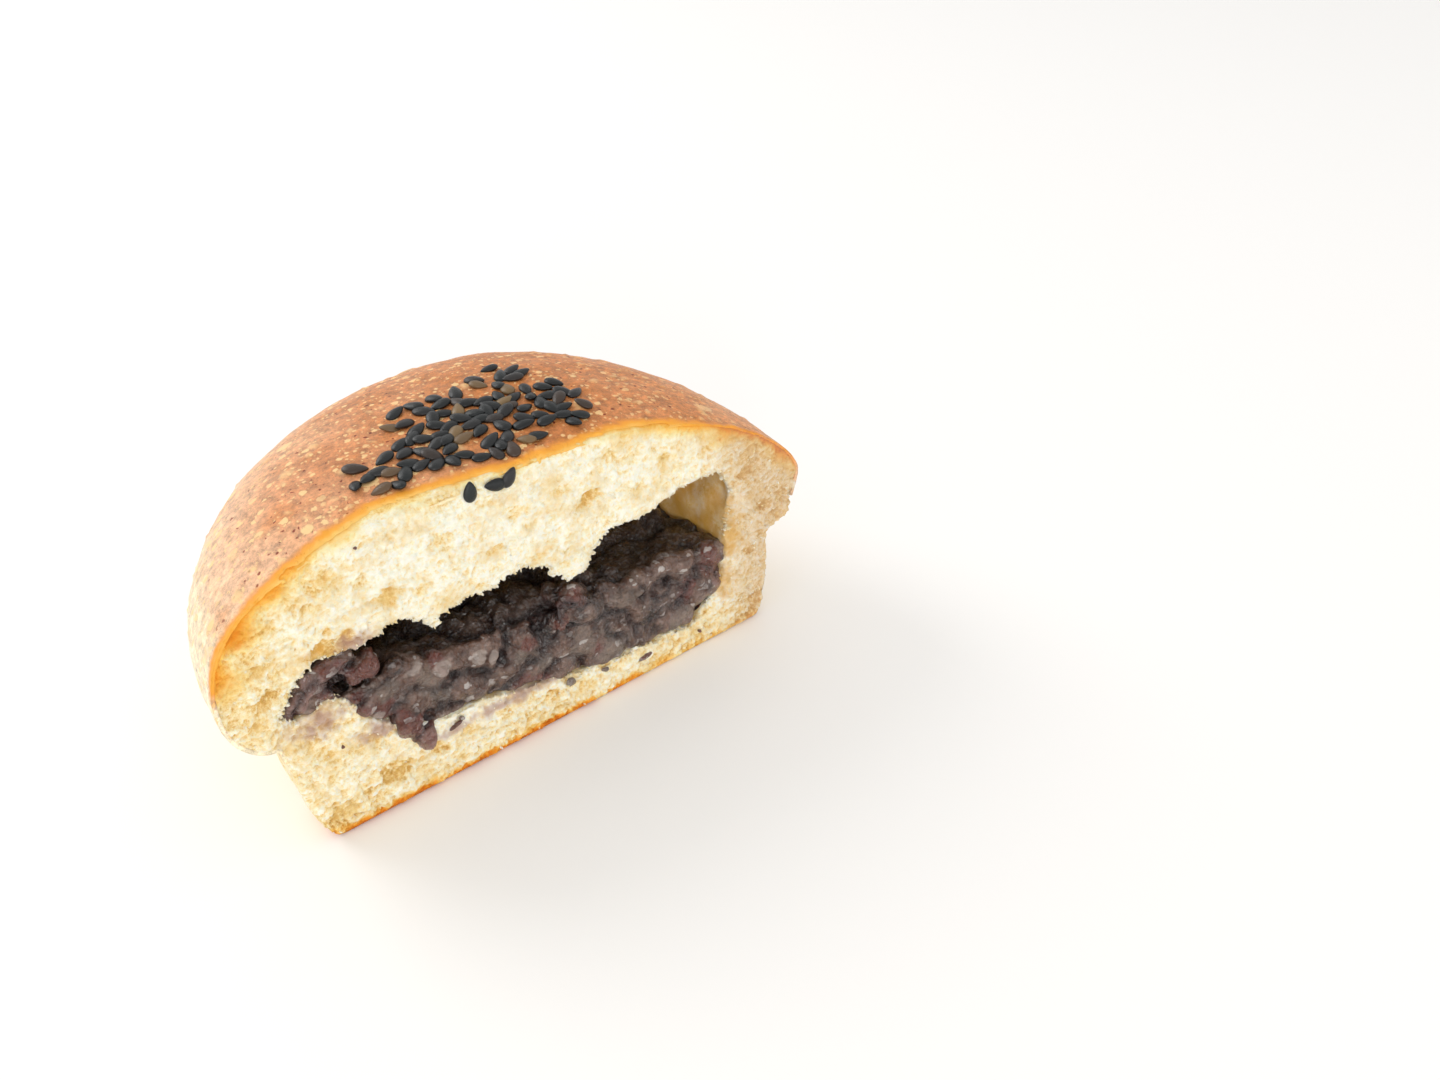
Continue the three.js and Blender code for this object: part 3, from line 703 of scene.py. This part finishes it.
def makeCrumb():
    bm = spunSkin(crumb["columns"], crumb["rowsPerStep"], crumb["inset"])
    cutAway(bm, crust["behindCut"])
    fillOpen(bm)
    cutTree = BVHTree.FromBMesh(bm)
    body = meshObject("crumb", bm)
    hollow = meshObject("hollowTool", hollowShape())
    withModifiers(body, ("BOOLEAN", {"operation": "DIFFERENCE", "object": hollow, "solver": "EXACT"}),
                  ("REMESH", {"mode": "VOXEL", "voxel_size": crumb["voxel"], "adaptivity": 0.0}))
    bpy.data.objects.remove(hollow)
    bm = bmesh.new()
    bm.from_mesh(body.data)
    nearCut = set()
    for f in bm.faces:
        p = f.calc_center_median()
        if p.y - cutAt(p.z) < 1.3 + edgeAt(p)[1]:
            nearCut.add(f)
    edges = [e for e in bm.edges if all(f in nearCut for f in e.link_faces)]
    bmesh.ops.subdivide_edges(bm, edges=edges, cuts=crumb["faceCuts"], use_grid_fill=True)
    bmesh.ops.triangulate(bm, faces=[f for f in bm.faces if len(f.verts) > 4])
    for v in bm.verts:  # the remesh rounded the edge of the cut: back onto the true faces
        if v.co.y - cutAt(v.co.z) < 1.5 and skinTree.find_nearest(v.co)[3] < 1.5:
            v.co = cutTree.find_nearest(v.co)[0]
    bm.normal_update()
    layers = newLayers(bm, "pitDepth", "goldenRim", "hollowWall", "stainAndPaintedShade")
    tornEdge = []
    for v in bm.verts:
        p = v.co.copy()
        behind = p.y - cutAt(p.z)
        skinDistance = skinTree.find_nearest(p)[3]
        brown, bareEdge = edgeAt(p)
        onTop = smoothStep(0.2, 1.0, bareEdge + 0.4 - behind) * (1 - smoothStep(0.8, 1.4, skinDistance))
        onFace = max(1 - smoothStep(0.8, 2.6, behind), onTop)
        bareSide = 1 - smoothStep(crust["lowerEdge"][0] - 3, crust["lowerEdge"][0], p.z)
        torn = smoothStep(38, 46, p.x) * (1 - smoothStep(21, 27, p.z)) * smoothStep(0.5, 2, p.z)
        free = max(smoothStep(0.35, 1.2, skinDistance), torn, 0.6 * bareSide * smoothStep(0.4, 1.5, p.z))
        free = max(free, 0.7 * onTop)
        foam = foamAt(p) * mix(1.35, 1.0, smoothStep(5, 9, p.z))
        opened = bubbleAt(p)
        wave = noise.fractal(p / 6, 0.8, 2.0, 3) * crumb["waviness"]
        lying = Vector((p.x / 2.2, p.y / 2.2, (p.z - 0.12 * p.x) / 0.6)) + 0.4 * noiseVector(p / 2)
        fibre = noise.noise(lying) * mix(1.4, 0.8, smoothStep(5, 10, p.z))
        edgeOfMouth = smoothStep(0.25, 0.8, 1 - abs(v.normal.y)) * onFace * smoothStep(2, 4, skinDistance)
        upper = smoothStep(22, 26, p.z)
        tuft = max(0.0, 0.2 + bumps(p, 1.3) + 0.5 * bumps(p, 0.55)) * crumb["tufts"]
        tuft *= edgeOfMouth * mix(0.3, 1.0, upper)
        move = (wave + 0.45 - foam - opened + crumb["fibres"] * fibre) * onFace * free + tuft * free
        move += (1 - onFace) * free * (0.5 * bumps(p, 4) + 0.3 * bumps(p, 1.7))
        move += torn * (0.9 * bumps(p, 2.1) + 0.5 * bumps(p, 0.9))
        v.co += v.normal * move
        if edgeOfMouth > 0.4 and behind < 1.6:
            tornEdge.append((v.co.copy(), v.normal.copy()))
        baked = mix(1.0, 0.35, smoothStep(0, 22, p.x)) * clamp(1.0 + 1.3 * bumps(p, 3.3))
        baseLine = (1 - smoothStep(0.6, 2.1 + 1.3 * bumps(p, 5) + 0.8 * fibre, p.z)) * baked * 0.92
        sideTone = 0.42 + 0.5 * bumps(p, 2.6) + 0.3 * bumps(p, 1.1)
        farEnd = smoothStep(26, 40, p.x)
        nearEnd = 1 - smoothStep(-44, -26, p.x)
        # the face tone paints shade: darker and yellower in the bubbles and the opened bubbles, lighter on
        # the standing fibres, darker towards the far end and in the torn streaks near the base; the baked
        # base line and the yellower near end are the crumb's own colour
        faceTone = (foam - 0.2) * 0.8 + 0.9 * opened - 0.3 * fibre + 0.3 * farEnd + 0.17 * nearEnd
        faceTone += 0.15 * (1 - smoothStep(2, 7, p.z)) - 0.06 * smoothStep(33, 37, p.z) + 0.3 * baseLine
        v[layers["pitDepth"]] = clamp(mix(sideTone, faceTone, onFace))
        left, crown, right = crumb["goldenWidth"]
        width = mix(mix(left, crown, smoothStep(-42, -22, p.x)), right, smoothStep(5, 25, p.x))
        width *= 1 + 0.9 * bumps(p, 4)
        fromBrown = max(0.0, skinDistance - 0.3) + max(0.0, brown - max(0.0, behind)) * 0.75
        golden = math.exp(-fromBrown / width) ** 1.3 * goldenAt(p)
        v[layers["goldenRim"]] = max(golden, baseLine)
        wall = smoothStep(0.8, 3.0, behind) * smoothStep(2, 3, skinDistance)
        wall *= clamp(0.72 + 0.45 * bumps(p, 3.5) + 0.5 * bumps(p, 1.4))
        v[layers["hollowWall"]] = max(wall, 0.72 * stainAt(p, crumb["goldenStains"]) * onFace)
        # the stain layer holds the paste's real stains and a painted shade that greys the far end, where
        # the other half shades it
        v[layers["stainAndPaintedShade"]] = max(0.75 * stainAt(p, crumb["stains"]), 0.36 * farEnd) * onFace
    bm.to_mesh(body.data)
    bm.free()
    return body, tornEdge


crumbPiece, tornEdge = makeCrumb()
placePiece(crumbPiece, "bread", crumbMaterial)

# torn shreds of crumb round the mouth and on the cut face
shreds = {
    "alongMouth": 0.42,  # share of the points of the torn edge
    "onFace": 700,
    "chance": 331,
    "length": (0.2, 0.55),  # half
    "thickness": (0.1, 0.22),
}


def addShred(bm, place, way, length, thickness, draw):
    made = bmesh.ops.create_icosphere(bm, subdivisions=1, radius=1)["verts"]
    tone = mix(0.05, 0.45, draw())
    lie = Vector((0, 0, 1)).rotation_difference(way).to_matrix().to_4x4()
    for v in made:
        uneven = mix(0.55, 1.3, draw())
        v.co = Vector((v.co.x * thickness * uneven, v.co.y * thickness * uneven * 1.5, v.co.z * length))
        v[bm.verts.layers.float["pitDepth"]] = tone
    bmesh.ops.transform(bm, matrix=Matrix.Translation(place) @ lie, verts=made)


def makeShreds():
    bm = bmesh.new()
    bm.verts.layers.float.new("pitDepth")
    draw = randomRow(shreds["chance"])
    for place, normal in tornEdge:
        crowd = 1 + 2.2 * bumps(place, 1.9)
        chance = draw()
        length = mix(*shreds["length"], draw() ** 2)
        spread = Vector((draw() - 0.5, -0.7 * draw(), draw() - 0.5))
        thickness = mix(*shreds["thickness"], draw())
        if chance < shreds["alongMouth"] * crowd * (1.0 if place.z > 22 else 0.3):
            addShred(bm, place, (normal + 1.4 * spread).normalized(), length, thickness, draw)
    face = BVHTree.FromObject(crumbPiece, bpy.context.evaluated_depsgraph_get())
    toBun = toFrame.inverted()
    for _ in range(shreds["onFace"]):
        x = mix(-48, 48, draw())
        z = mix(1, 48, draw())
        length = mix(*shreds["length"], draw()) * 0.7
        way = Vector((draw() - 0.5, -0.35 * draw(), draw() - 0.5)).normalized()
        thickness = mix(*shreds["thickness"], draw()) * 0.8
        hit = face.ray_cast(toFrame @ Vector((x, -20, z)), Vector((0, 1, 0)), 0.025)[0]
        if hit is None:
            continue
        place = toBun @ hit
        if place.y - cutAt(z) < 1.2 and skinTree.find_nearest(place)[3] > 0.8:
            addShred(bm, place, way, length, thickness, draw)
    bmesh.ops.recalc_face_normals(bm, faces=bm.faces)
    return meshObject("crumbShreds", bm)


shredPiece = makeShreds()
placePiece(shredPiece, "bread", crumbMaterial)

# the bean paste
paste = {
    "columns": 120,
    "rows": 20,
    "gap": 0.15,  # to the crumb
    "top": 20.7,  # at the middle
    "slope": -0.07,  # it falls towards the far end
    "front": 0.4,  # behind the cut
    "voxel": 0.36,
    "beanSize": (3.6, 2.5, 2.1),
    "finishes": ("flesh", "skin", "pink", "clear", "smooth", "plain"),
    "topBeans": 56,
    "topChance": 4242,
    "crushedBeans": 26,
    "crushedChance": 907,
    "lumpMiddle": 1.6,  # behind the cut
    "smoothings": 6,
    "mash": [(6.5, 1.3), (2.8, 0.45), (1.2, 0.16)],  # width of the folds and their depth
    # beans and scraps that show in the cut: x, z, half length, half height, how far they stand out,
    # turn in degrees, finish
    "lumps": [
        (8, 8.8, 3.8, 1.7, 0.3, -3, "flesh"), (11.3, 17.2, 2.8, 1.8, 0.6, 15, "flesh"),
        (1.4, 22, 3, 1.5, 2.4, 10, "skin"), (-0.8, 19.6, 1.4, 3.2, 2.1, -8, "skin"),
        (4.2, 18.6, 4.6, 3.6, 1.9, 35, "smooth"), (-20.6, 20.6, 1.4, 1.2, 1.4, 0, "clear"),
        (-21.7, 16.6, 2.2, 1.9, 0.7, 60, "flesh"), (-17.2, 14.4, 2.6, 1.8, 0.5, 10, "plain"),
        (-14.6, 19.6, 1.2, 1, 1.3, 15, "clear"), (-12.4, 18.4, 0.6, 1.2, 1.1, 10, "clear"),
        (-24.6, 22.4, 1.5, 0.6, 1.2, -20, "clear"), (-27.4, 22.8, 0.9, 0.5, 1.2, 20, "clear"),
        (-30.8, 17.8, 0.8, 0.5, 1.1, 0, "clear"), (-22.4, 12.8, 0.9, 0.5, 1.1, 20, "clear"),
        (-26.6, 23.4, 2.2, 1.6, 1, -15, "plain"), (-30.4, 26, 1.6, 2.2, 0.9, 20, "skin"),
        (-29.6, 21.6, 2.8, 2, 0.9, 10, "flesh"), (-32.4, 20.8, 2.4, 2.2, 1.2, 20, "skin"),
        (-26.4, 18, 2.4, 2, 0.7, 0, "plain"), (-28.2, 15.6, 1.8, 1.6, 0.8, 0, "skin"),
        (-26.8, 13, 2.8, 2.6, 1.6, 0, "skin"), (-26.1, 11.4, 2.5, 2.6, 1.8, 8, "skin"),
        (-25.5, 10, 1.3, 2.5, 1.9, 10, "pink"), (-6.1, 9.9, 2.4, 1.3, 0.6, 15, "skin"),
        (-10, 14, 3.8, 2.6, 0.4, 0, "plain"), (-6.4, 17.6, 1.8, 1.2, 0.6, 30, "skin"),
        (0.5, 12.5, 3.4, 2.2, 0.4, 20, "plain"), (18, 12, 4.2, 2.6, 0.2, 12, "plain"),
        (18.5, 18.6, 2.8, 1.7, 0.8, 0, "plain"), (24.4, 18, 2.6, 2, 1.2, -20, "plain"),
        (28.8, 16.4, 2.2, 3.2, 0.5, 0, "skin"), (30, 12.5, 1.2, 2.6, 0.4, 0, "pink"),
        (-35.2, 27.6, 2.4, 1.8, 0.9, -15, "skin"), (-38, 26.6, 1.5, 2.3, 0.8, 30, "pink"),
        (-40.4, 24.8, 2.8, 1.3, 0.7, -38, "pink"), (-36.4, 24.9, 1.6, 1.4, 0.5, 0, "skin"),
        (-33, 25.6, 1.4, 2.2, 0.6, 0, "skin"), (-32.4, 28.4, 1.6, 1.2, 0.4, 0, "plain"),
        (-37, 26, 5.4, 3, -0.6, -25, "plain")],
    # x, z, half width, depth
    "holes": [
        (-24.2, 13.3, 0.8, 1.8), (14, 16.8, 1, 2.6), (15.2, 15.8, 0.8, 2), (-34.6, 25.4, 1, 1.9),
        (-3.2, 21.4, 1.3, 4.2), (-4, 19.2, 1.4, 4), (-3.6, 16.6, 1, 2.8), (-30.8, 24, 0.7, 1.4),
        (20.5, 15.5, 0.8, 1.4), (-11, 17, 0.8, 1.6), (-18.6, 17.8, 0.7, 1.4)],
}


def addLump(bm, place, half, turn, lean=0.0):
    made = bmesh.ops.create_icosphere(bm, subdivisions=3, radius=1)["verts"]
    shape = (Matrix.Translation(place) @ Matrix.Rotation(turn, 4, "Y") @ Matrix.Rotation(lean, 4, "Z")
             @ Matrix.Diagonal((*half, 1)))
    bmesh.ops.transform(bm, matrix=shape, verts=made)
    return made


def mouthFloor(x):  # lower edge of the mouth, and so of the paste in the cut
    return 15.5 if x < -24 else mix(11.2, 6.4, smoothStep(-20, 8, x))


def pasteTopAt(x):
    return paste["top"] + paste["slope"] * x


def crushedBeans():  # more lumps for the cut face, by chance
    draw = randomRow(paste["crushedChance"])
    found = []
    for _ in range(paste["crushedBeans"]):
        x = mix(-30, 29, draw())
        z = mix(mouthFloor(x) + 1, pasteTopAt(x) - 1, draw())
        long = mix(1.4, 3.2, draw())
        finish = "flesh" if draw() < 0.35 else ("skin" if draw() < 0.4 else "plain")
        found.append((x, z, long, long * mix(0.45, 0.8, draw()), mix(0.0, 0.45, draw()),
                      180 * draw(), finish))
    return found


def pasteBlock():  # the hollow, cut off at the front and at the top
    bm = hollowShape(paste["gap"], paste["columns"], paste["rows"])
    cutAway(bm, paste["front"])
    fillOpen(bm)
    cutOff(bm, (0, 0, paste["top"]), (-paste["slope"], 0, 1))
    fillOpen(bm)
    return bm


def lumpAt(p, lumps):  # the share of each finish here
    shares = dict.fromkeys(paste["finishes"], 0.0)
    for x, z, long, high, _, turn, finish in lumps:
        if abs(p.x - x) < long + high and abs(p.z - z) < long + high:
            c, s = math.cos(math.radians(turn)), math.sin(math.radians(turn))
            along = ((p.x - x) * c - (p.z - z) * s) / long
            up = ((p.x - x) * s + (p.z - z) * c) / high
            t = math.hypot(along, up) + 0.3 * bumps(p, 1.4)
            shares[finish] = max(shares[finish], 1 - smoothStep(0.82, 1.02, t))
    return shares


def makePaste():
    bm = pasteBlock()
    draw = randomRow(paste["topChance"])
    for _ in range(paste["topBeans"]):
        x = mix(-29, 28, draw())
        behind = mix(1.2, 24, draw() ** 1.4)
        size = mix(0.7, 1.15, draw())
        top = pasteTopAt(x)
        addLump(bm, Vector((x, cutAt(top) + behind, top - mix(1.7, 0.6, draw()))),
                [s * size for s in paste["beanSize"]], (draw() - 0.5) * 0.9, draw() * math.pi)
    lumps = paste["lumps"] + crushedBeans()
    middle = paste["lumpMiddle"]
    for x, z, long, high, out, turn, _ in lumps:
        addLump(bm, Vector((x, cutAt(z) + middle, z)), (long, middle - paste["front"] + out, high),
                math.radians(turn))
    piece = meshObject("beanPaste", bm)
    withModifiers(piece, ("REMESH", {"mode": "VOXEL", "voxel_size": paste["voxel"], "adaptivity": 0.0}))
    bm = bmesh.new()
    bm.from_mesh(piece.data)
    axes = {"use_axis_x": True, "use_axis_y": True, "use_axis_z": True}
    for _ in range(paste["smoothings"]):
        bmesh.ops.smooth_vert(bm, verts=bm.verts, factor=0.5, **axes)
    bm.normal_update()
    layers = newLayers(bm, "flesh", "skin", "pink", "clear", "fold", "behindCut")
    for v in bm.verts:
        p = v.co.copy()
        behind = p.y - cutAt(p.z)
        inCut = 1 - smoothStep(1.5, 3.5, behind)
        shares = lumpAt(p, lumps if inCut else [])
        smooth = 1 - max(0.45 * shares["flesh"], 0.45 * shares["plain"], 0.8 * shares["smooth"]) * inCut
        rise = 0.0
        torn = p + 0.8 * noiseVector(p / 2.5)
        for i, (size, depth) in enumerate(paste["mash"]):
            fold = min(1.0, abs(noise.noise(torn / size + Vector((7 * i, 3, 1)))) / 0.4)
            rise += depth * (fold - 0.6)
        for x, z, half, depth in paste["holes"]:
            rise -= depth * math.exp(-((p.x - x) ** 2 + (p.z - z) ** 2) / half ** 2) * inCut
        v.co += v.normal * rise * smooth
        v[layers["flesh"]] = 0.45 * shares["flesh"] * inCut
        v[layers["skin"]] = 0.85 * shares["skin"] * inCut
        v[layers["pink"]] = mix(0.85, 0.5, smoothStep(-36, -20, p.x)) * shares["pink"] * inCut
        # the clear pieces are pale see-through bean flesh; their paleness is partly a painted highlight of
        # their wet gloss
        v[layers["clear"]] = 0.6 * shares["clear"] * inCut
        # painted shade: the paste is darker where the mash sinks into its creases
        v[layers["fold"]] = 1 - smoothStep(-0.9, 0.1, rise)
        # painted shade: the paste turns near black deeper behind the cut, partly its own darker colour,
        # partly the hollow's shade, and its upward faces are darkened for the shade of the crumb's roof
        shaded = 0.6 * smoothStep(0.45, 0.9, v.normal.z) * smoothStep(0.6, 2.0, behind)
        v[layers["behindCut"]] = max(0.85 * smoothStep(1.5, 7.0, behind), shaded)
    bm.to_mesh(piece.data)
    bm.free()
    return piece


pastePiece = makePaste()
placePiece(pastePiece, "bean_paste", pasteMaterial)

# scraps of paste that dropped on the crumb
scraps = {
    # x, z, half length, half height, turn in degrees, finish
    "places": [
        (-0.9, 6.8, 0.9, 0.8, 0, "flesh"), (5.6, 5.8, 0.7, 0.4, 15, "flesh"),
        (13.4, 4.2, 1.4, 0.45, -8, "skin"), (-19.6, 10.4, 0.5, 0.35, 30, "plain"),
        (25, 3.6, 0.35, 0.25, 10, "skin"), (-20.8, 9.6, 1.3, 0.25, -20, "skin"),
        (-37, 15.6, 0.3, 0.25, 0, "skin"), (-27, 44.6, 0.25, 0.2, 0, "skin")],
    "thickness": 0.4,
}


def makeScraps():
    bm = bmesh.new()
    layers = newLayers(bm, "flesh", "skin")
    for x, z, long, high, turn, finish in scraps["places"]:
        half = (long, scraps["thickness"], high)
        for v in addLump(bm, Vector((x, cutAt(z), z)), half, math.radians(turn)):
            v.co += 0.35 * high * noiseVector(v.co / (1.2 * high))
            if finish in layers:
                v[layers[finish]] = 0.6
    bmesh.ops.recalc_face_normals(bm, faces=bm.faces)
    return meshObject("pasteScraps", bm)


scrapPiece = makeScraps()
placePiece(scrapPiece, "bean_paste", pasteMaterial)

# the sesame
sesame = {
    "size": (1.7, 1.02, 0.55),  # half the length, width and thickness
    "spacing": 1.75,
    "sunk": 0.25,
    "tries": 1500,
    "chance": 1879,
    "toneChance": 77,
    "from": 8.2,  # no seed nearer to the cut
    # the patch as ellipses: x, distance behind the cut, half width, half depth, most seeds
    "patch": [
        (-2, 17, 13.5, 7.4, 58), (-7, 26.5, 7, 3.6, 9), (6.6, 29, 4, 4.6, 9), (10.5, 17, 4.4, 7, 9),
        (-18.5, 15.6, 5.2, 4.6, 9)],
    "dragged": [(-10, 46.2, 0.23), (-6.2, 45.8, 0.46), (-3.9, 46.1, 0.15)],
}


def seedPlaces():
    draw = randomRow(sesame["chance"])
    places = []
    for middleX, middleY, wide, deep, most in sesame["patch"]:
        added = 0
        tries = 0
        while tries < sesame["tries"] and added < most:
            tries += 1
            a = draw() * 2 - 1
            b = draw() * 2 - 1
            if a * a + b * b > 1:
                continue
            x = middleX + a * wide
            y = middleY + b * deep
            near = any((p[0] - x) ** 2 + (p[1] - y) ** 2 < sesame["spacing"] ** 2 for p in places)
            if near or y < sesame["from"]:
                continue
            places.append((x, y, draw(), draw(), draw()))
            added += 1
    return places


def makeSeeds():
    bm = bmesh.new()
    toneLayer = bm.verts.layers.float.new("seedTone")
    drawTone = randomRow(sesame["toneChance"])
    down = Vector((0, 0, -1))
    back = Vector((0, 1, 0))
    rays = [(Vector((x, y, 70)), down, turn, tilt, size) for x, y, turn, tilt, size in seedPlaces()]
    rays += [(Vector((x, -20, z)), back, turn, 0.5, 0.5) for x, z, turn in sesame["dragged"]]
    for start, way, turn, tilt, size in rays:
        hit, normal, _, _ = skinTree.ray_cast(start, way)
        if hit is None or way.y:
            hit = Vector((start.x, cutAt(start.z), start.z))
            normal = Vector((0, -1, 0.1))
        up = (normal - way).normalized()
        made = bmesh.ops.create_uvsphere(bm, u_segments=14, v_segments=10, radius=1)["verts"]
        scale = mix(0.88, 1.1, size)
        tone = drawTone()
        for v in made:
            along = v.co.z
            taper = 1 - 0.3 * along - 0.12 * along * along
            flat = 1 - 0.15 * abs(v.co.x)
            v.co = Vector((along * sesame["size"][0], v.co.x * sesame["size"][1] * taper,
                           v.co.y * sesame["size"][2] * flat * (1 - 0.2 * along))) * scale
            v[toneLayer] = tone
        lie = Vector((0, 0, 1)).rotation_difference(up).to_matrix().to_4x4()
        middle = Matrix.Translation(hit + up * (sesame["size"][2] - sesame["sunk"]))
        turned = Matrix.Rotation(turn * 2 * math.pi, 4, "Z") @ Matrix.Rotation((tilt - 0.5) * 0.5, 4, "Y")
        bmesh.ops.transform(bm, matrix=middle @ lie @ turned, verts=made)
    bmesh.ops.recalc_face_normals(bm, faces=bm.faces)
    return meshObject("sesameSeeds", bm)


seedPiece = makeSeeds()
placePiece(seedPiece, "bread", sesameMaterial)

# floor, light, camera
studio = {
    "floor": "#faf8f5",
    "sky": "#ffffff",
    "skyStrength": 0.88,
    # softboxes as (place, width in m, power in W), aimed at the bun
    "lights": [((-0.45, 0.8, 0.65), 0.6, 4.1), ((-0.55, -0.85, 0.3), 0.28, 2.1),
               ((0.3, -0.85, 0.12), 0.16, 0.6)],
    "lens": 26.0,
    "cameraPlace": (-0.05352, -0.13761, 0.13104),
    "cameraTurn": 37.5,
    "cameraDown": 38.59,
    "aim": (0, 0, 0.02),
}


def makeStudio():
    bm = bmesh.new()
    bmesh.ops.create_grid(bm, x_segments=4, y_segments=4, size=3.0)
    floor = meshObject("floor", bm)
    material, add, *_ = newMaterial("pale matt table")
    shader = add("BsdfPrincipled", {
        "Base Color": linear(studio["floor"]), "Roughness": 0.6, "Specular IOR Level": 0.3})
    add("OutputMaterial", {"Surface": shader})
    floor.data.materials.append(material)
    world = bpy.data.worlds.new("studio")
    world.use_nodes = True
    background = world.node_tree.nodes["Background"]
    background.inputs[0].default_value = linear(studio["sky"])
    background.inputs[1].default_value = studio["skyStrength"]
    scene.world = world
    for i, (place, width, power) in enumerate(studio["lights"]):
        lamp = bpy.data.lights.new("softbox" + str(i + 1), "AREA")
        lamp.shape = "DISK"
        lamp.size = width
        lamp.energy = power
        lampObject = bpy.data.objects.new(lamp.name, lamp)
        lampObject.location = place
        aim = Vector(studio["aim"]) - Vector(place)
        lampObject.rotation_euler = aim.to_track_quat("-Z", "Y").to_euler()
        scene.collection.objects.link(lampObject)
    camera = bpy.data.cameras.new("camera")
    camera.lens = studio["lens"]
    camera.sensor_width = 36
    camera.clip_start = 0.005
    cameraObject = bpy.data.objects.new("camera", camera)
    cameraObject.location = studio["cameraPlace"]
    down, turn = math.radians(studio["cameraDown"]), math.radians(studio["cameraTurn"])
    cameraObject.rotation_euler = (math.pi / 2 - down, 0, -turn)
    scene.collection.objects.link(cameraObject)
    scene.camera = cameraObject
    scene.view_settings.view_transform = "Standard"


makeStudio()
print("studio made")
